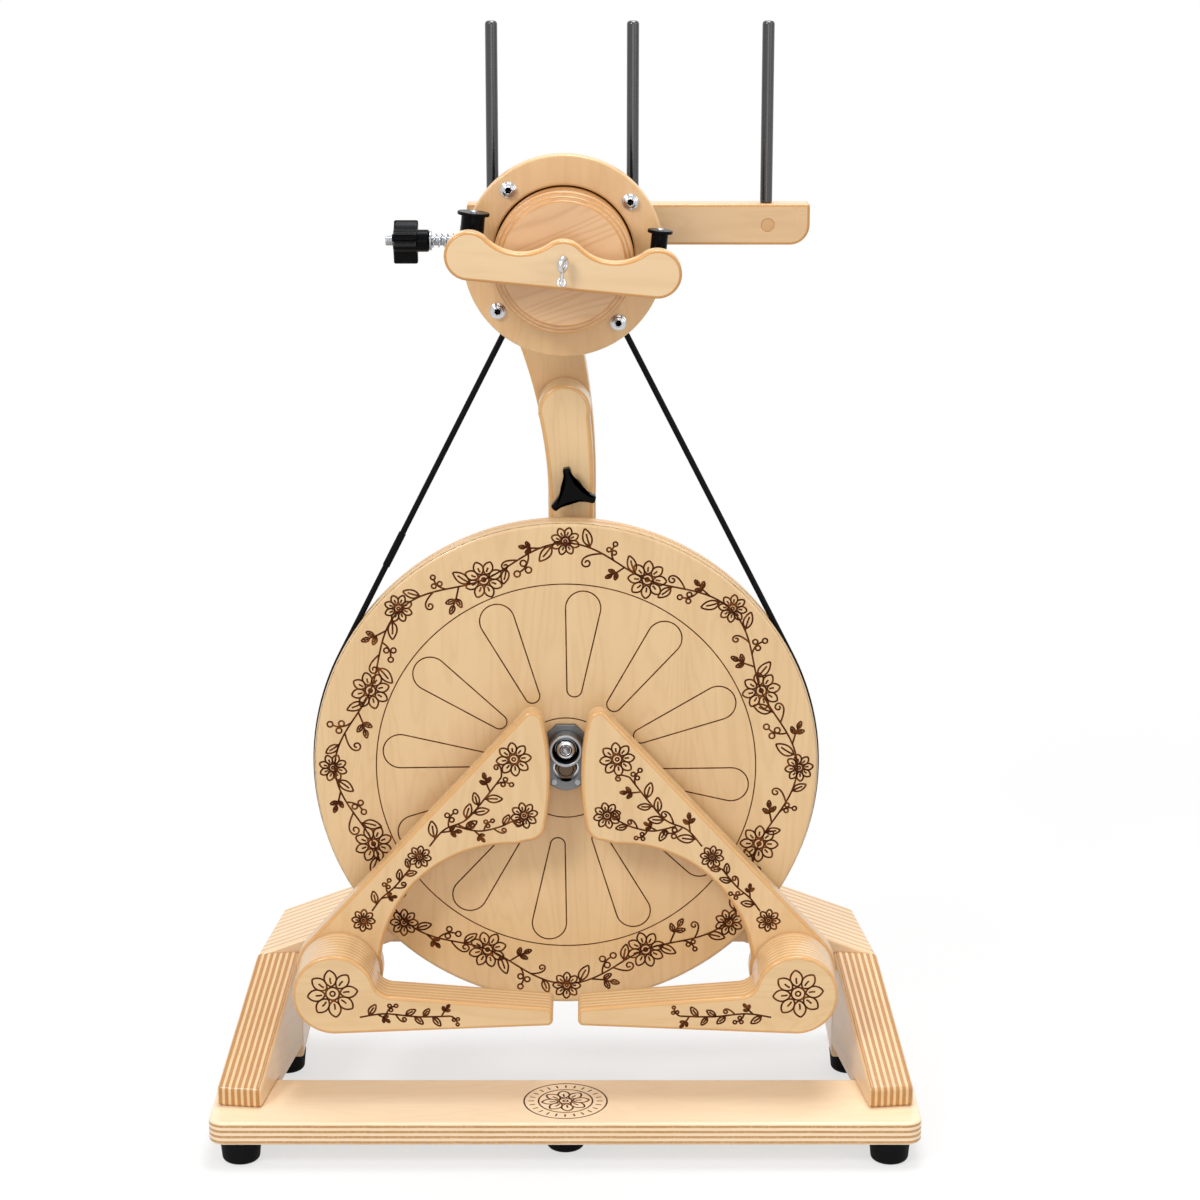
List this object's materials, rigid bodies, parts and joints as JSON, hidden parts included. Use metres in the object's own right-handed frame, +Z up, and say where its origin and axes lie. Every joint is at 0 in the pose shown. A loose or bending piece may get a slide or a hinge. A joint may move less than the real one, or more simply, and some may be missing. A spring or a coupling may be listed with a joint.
{
  "type": "spinning wheel",
  "caption": "Double treadle spinning wheel in birch plywood and maple with a ring flyer, a solid drive wheel, a bobbin brake and a bar of upright bobbin rods.",
  "frame": {"origin": "on the floor, under the middle of the outer box", "axes": "+X to the spinner's right, +Y from the spinner to the back of the base, +Z up"},
  "size_m": [0.56, 0.265, 0.873],
  "materials": {
    "maple": "oiled, fine straight grain",
    "birch_ply": "oiled faces with striped ply edges",
    "rubber": "matte",
    "belt": "smooth round polyurethane",
    "cord": "twisted cotton",
    "black_plastic": "satin",
    "black_steel": "black oxide, satin",
    "steel": "satin",
    "chrome": "polished",
    "bronze": "dull"
  },
  "bodies": {
    "base": {"front_board": "birch_ply", "left_side_arm": "birch_ply", "right_side_arm": "birch_ply", "rear_bridge": "birch_ply", "post": "maple", "rubber_feet": "rubber", "foot_screws": "steel", "base_bolts": "steel", "post_bolts": "steel", "wheel_axle": "steel", "axle_spacer": "steel", "axle_nut": "steel", "pivot_bushes": "bronze", "clamp_plate": "steel", "drive_band": "belt"},
    "head": {"neck": "maple", "kate_bar": "maple", "kate_rods": "black_steel", "bar_plug": "maple", "head_screws": "chrome", "neck_bearings": "steel", "brake_bracket": "steel", "brake_bolt": "steel", "brake_spring": "steel", "brake_cord": "cord"},
    "brake_seat": {"brake_washer": "steel"},
    "brake_hand": {"brake_knob": "black_plastic"},
    "bobbin": {"spindle": "steel", "spindle_collar": "steel", "brake_drum": "maple", "bobbin_front": "maple", "bobbin_core": "maple", "bobbin_back": "maple"},
    "flyer": {"flyer_ring": "birch_ply", "ring_screws": "chrome", "flyer_hub": "black_plastic", "hub_bearings": "steel", "whorl": "black_plastic", "flyer_rods": "steel", "flyer_bar": "maple", "orifice_eye": "chrome"},
    "guide_left": {"left_guide": "black_plastic"},
    "guide_right": {"right_guide": "black_plastic"},
    "wheel": {"drive_wheel": "birch_ply", "wheel_bearings": "steel", "crank_plate": "steel", "plate_screws": "steel", "crank_bolt": "chrome"},
    "roller": {"crank_roller": "chrome"},
    "treadle_left": {"left_pedal": "birch_ply", "left_treadle_arm": "birch_ply", "left_pivot_rod": "steel", "left_pivot_spacer": "steel", "left_pivot_collar": "steel"},
    "treadle_right": {"right_pedal": "birch_ply", "right_treadle_arm": "birch_ply", "right_pivot_rod": "steel", "right_pivot_spacer": "steel", "right_pivot_collar": "steel"},
    "clamp": {"post_knob": "black_plastic"}
  },
  "joints": [
    {"name": "head_slide", "type": "slide", "parent": "base", "child": "head", "axis": [0, 0, 1], "range_m": [-0.012, 0.008], "deforming": ["drive_band"]},
    {"name": "wheel_spin", "type": "hinge", "parent": "base", "child": "wheel", "pos_m": [0, 0.0195, 0.284], "axis": [0, 1, 0], "continuous": true},
    {"name": "roller_spin", "type": "hinge", "parent": "wheel", "child": "roller", "pos_m": [0, -0.003, 0.3035], "axis": [0, 1, 0], "continuous": true},
    {"name": "flyer_spin", "type": "hinge", "parent": "head", "child": "flyer", "pos_m": [0, -0.01, 0.704], "axis": [0, 1, 0], "continuous": true},
    {"name": "bobbin_spin", "type": "hinge", "parent": "head", "child": "bobbin", "pos_m": [0, 0.02, 0.704], "axis": [0, 1, 0], "continuous": true},
    {"name": "left_rock", "type": "hinge", "parent": "base", "child": "treadle_left", "pos_m": [-0.183, 0.02, 0.1243], "axis": [0, 1, 0], "range_deg": [-6, 6]},
    {"name": "right_rock", "type": "hinge", "parent": "base", "child": "treadle_right", "pos_m": [0.183, 0.02, 0.1243], "axis": [0, 1, 0], "range_deg": [-6, 6]},
    {"name": "clamp_turn", "type": "hinge", "parent": "base", "child": "clamp", "pos_m": [0.0048, 0.03, 0.5085], "axis": [0, 1, 0], "range_deg": [-360, 360]},
    {"name": "brake_slide", "type": "slide", "parent": "head", "child": "brake_seat", "axis": [1, 0, 0], "range_m": [-0.0025, 0.0025], "deforming": ["brake_spring"]},
    {"name": "brake_turn", "type": "hinge", "parent": "brake_seat", "child": "brake_hand", "pos_m": [-0.12, 0.0417, 0.7054], "axis": [1, 0, 0], "range_deg": [-720, 720]},
    {"name": "left_guide_slide", "type": "slide", "parent": "flyer", "child": "guide_left", "axis": [0, 1, 0], "range_m": [-0.012, 0.012]},
    {"name": "right_guide_slide", "type": "slide", "parent": "flyer", "child": "guide_right", "axis": [0, 1, 0], "range_m": [-0.012, 0.012]}
  ],
  "couplings": [
    {"joint": "flyer_spin", "follows": "wheel_spin", "ratio": 17.609},
    {"joint": "right_rock", "follows": "left_rock", "ratio": 1},
    {"joint": "brake_turn", "follows": "brake_slide", "rad_per_m": 5026.5}
  ]
}
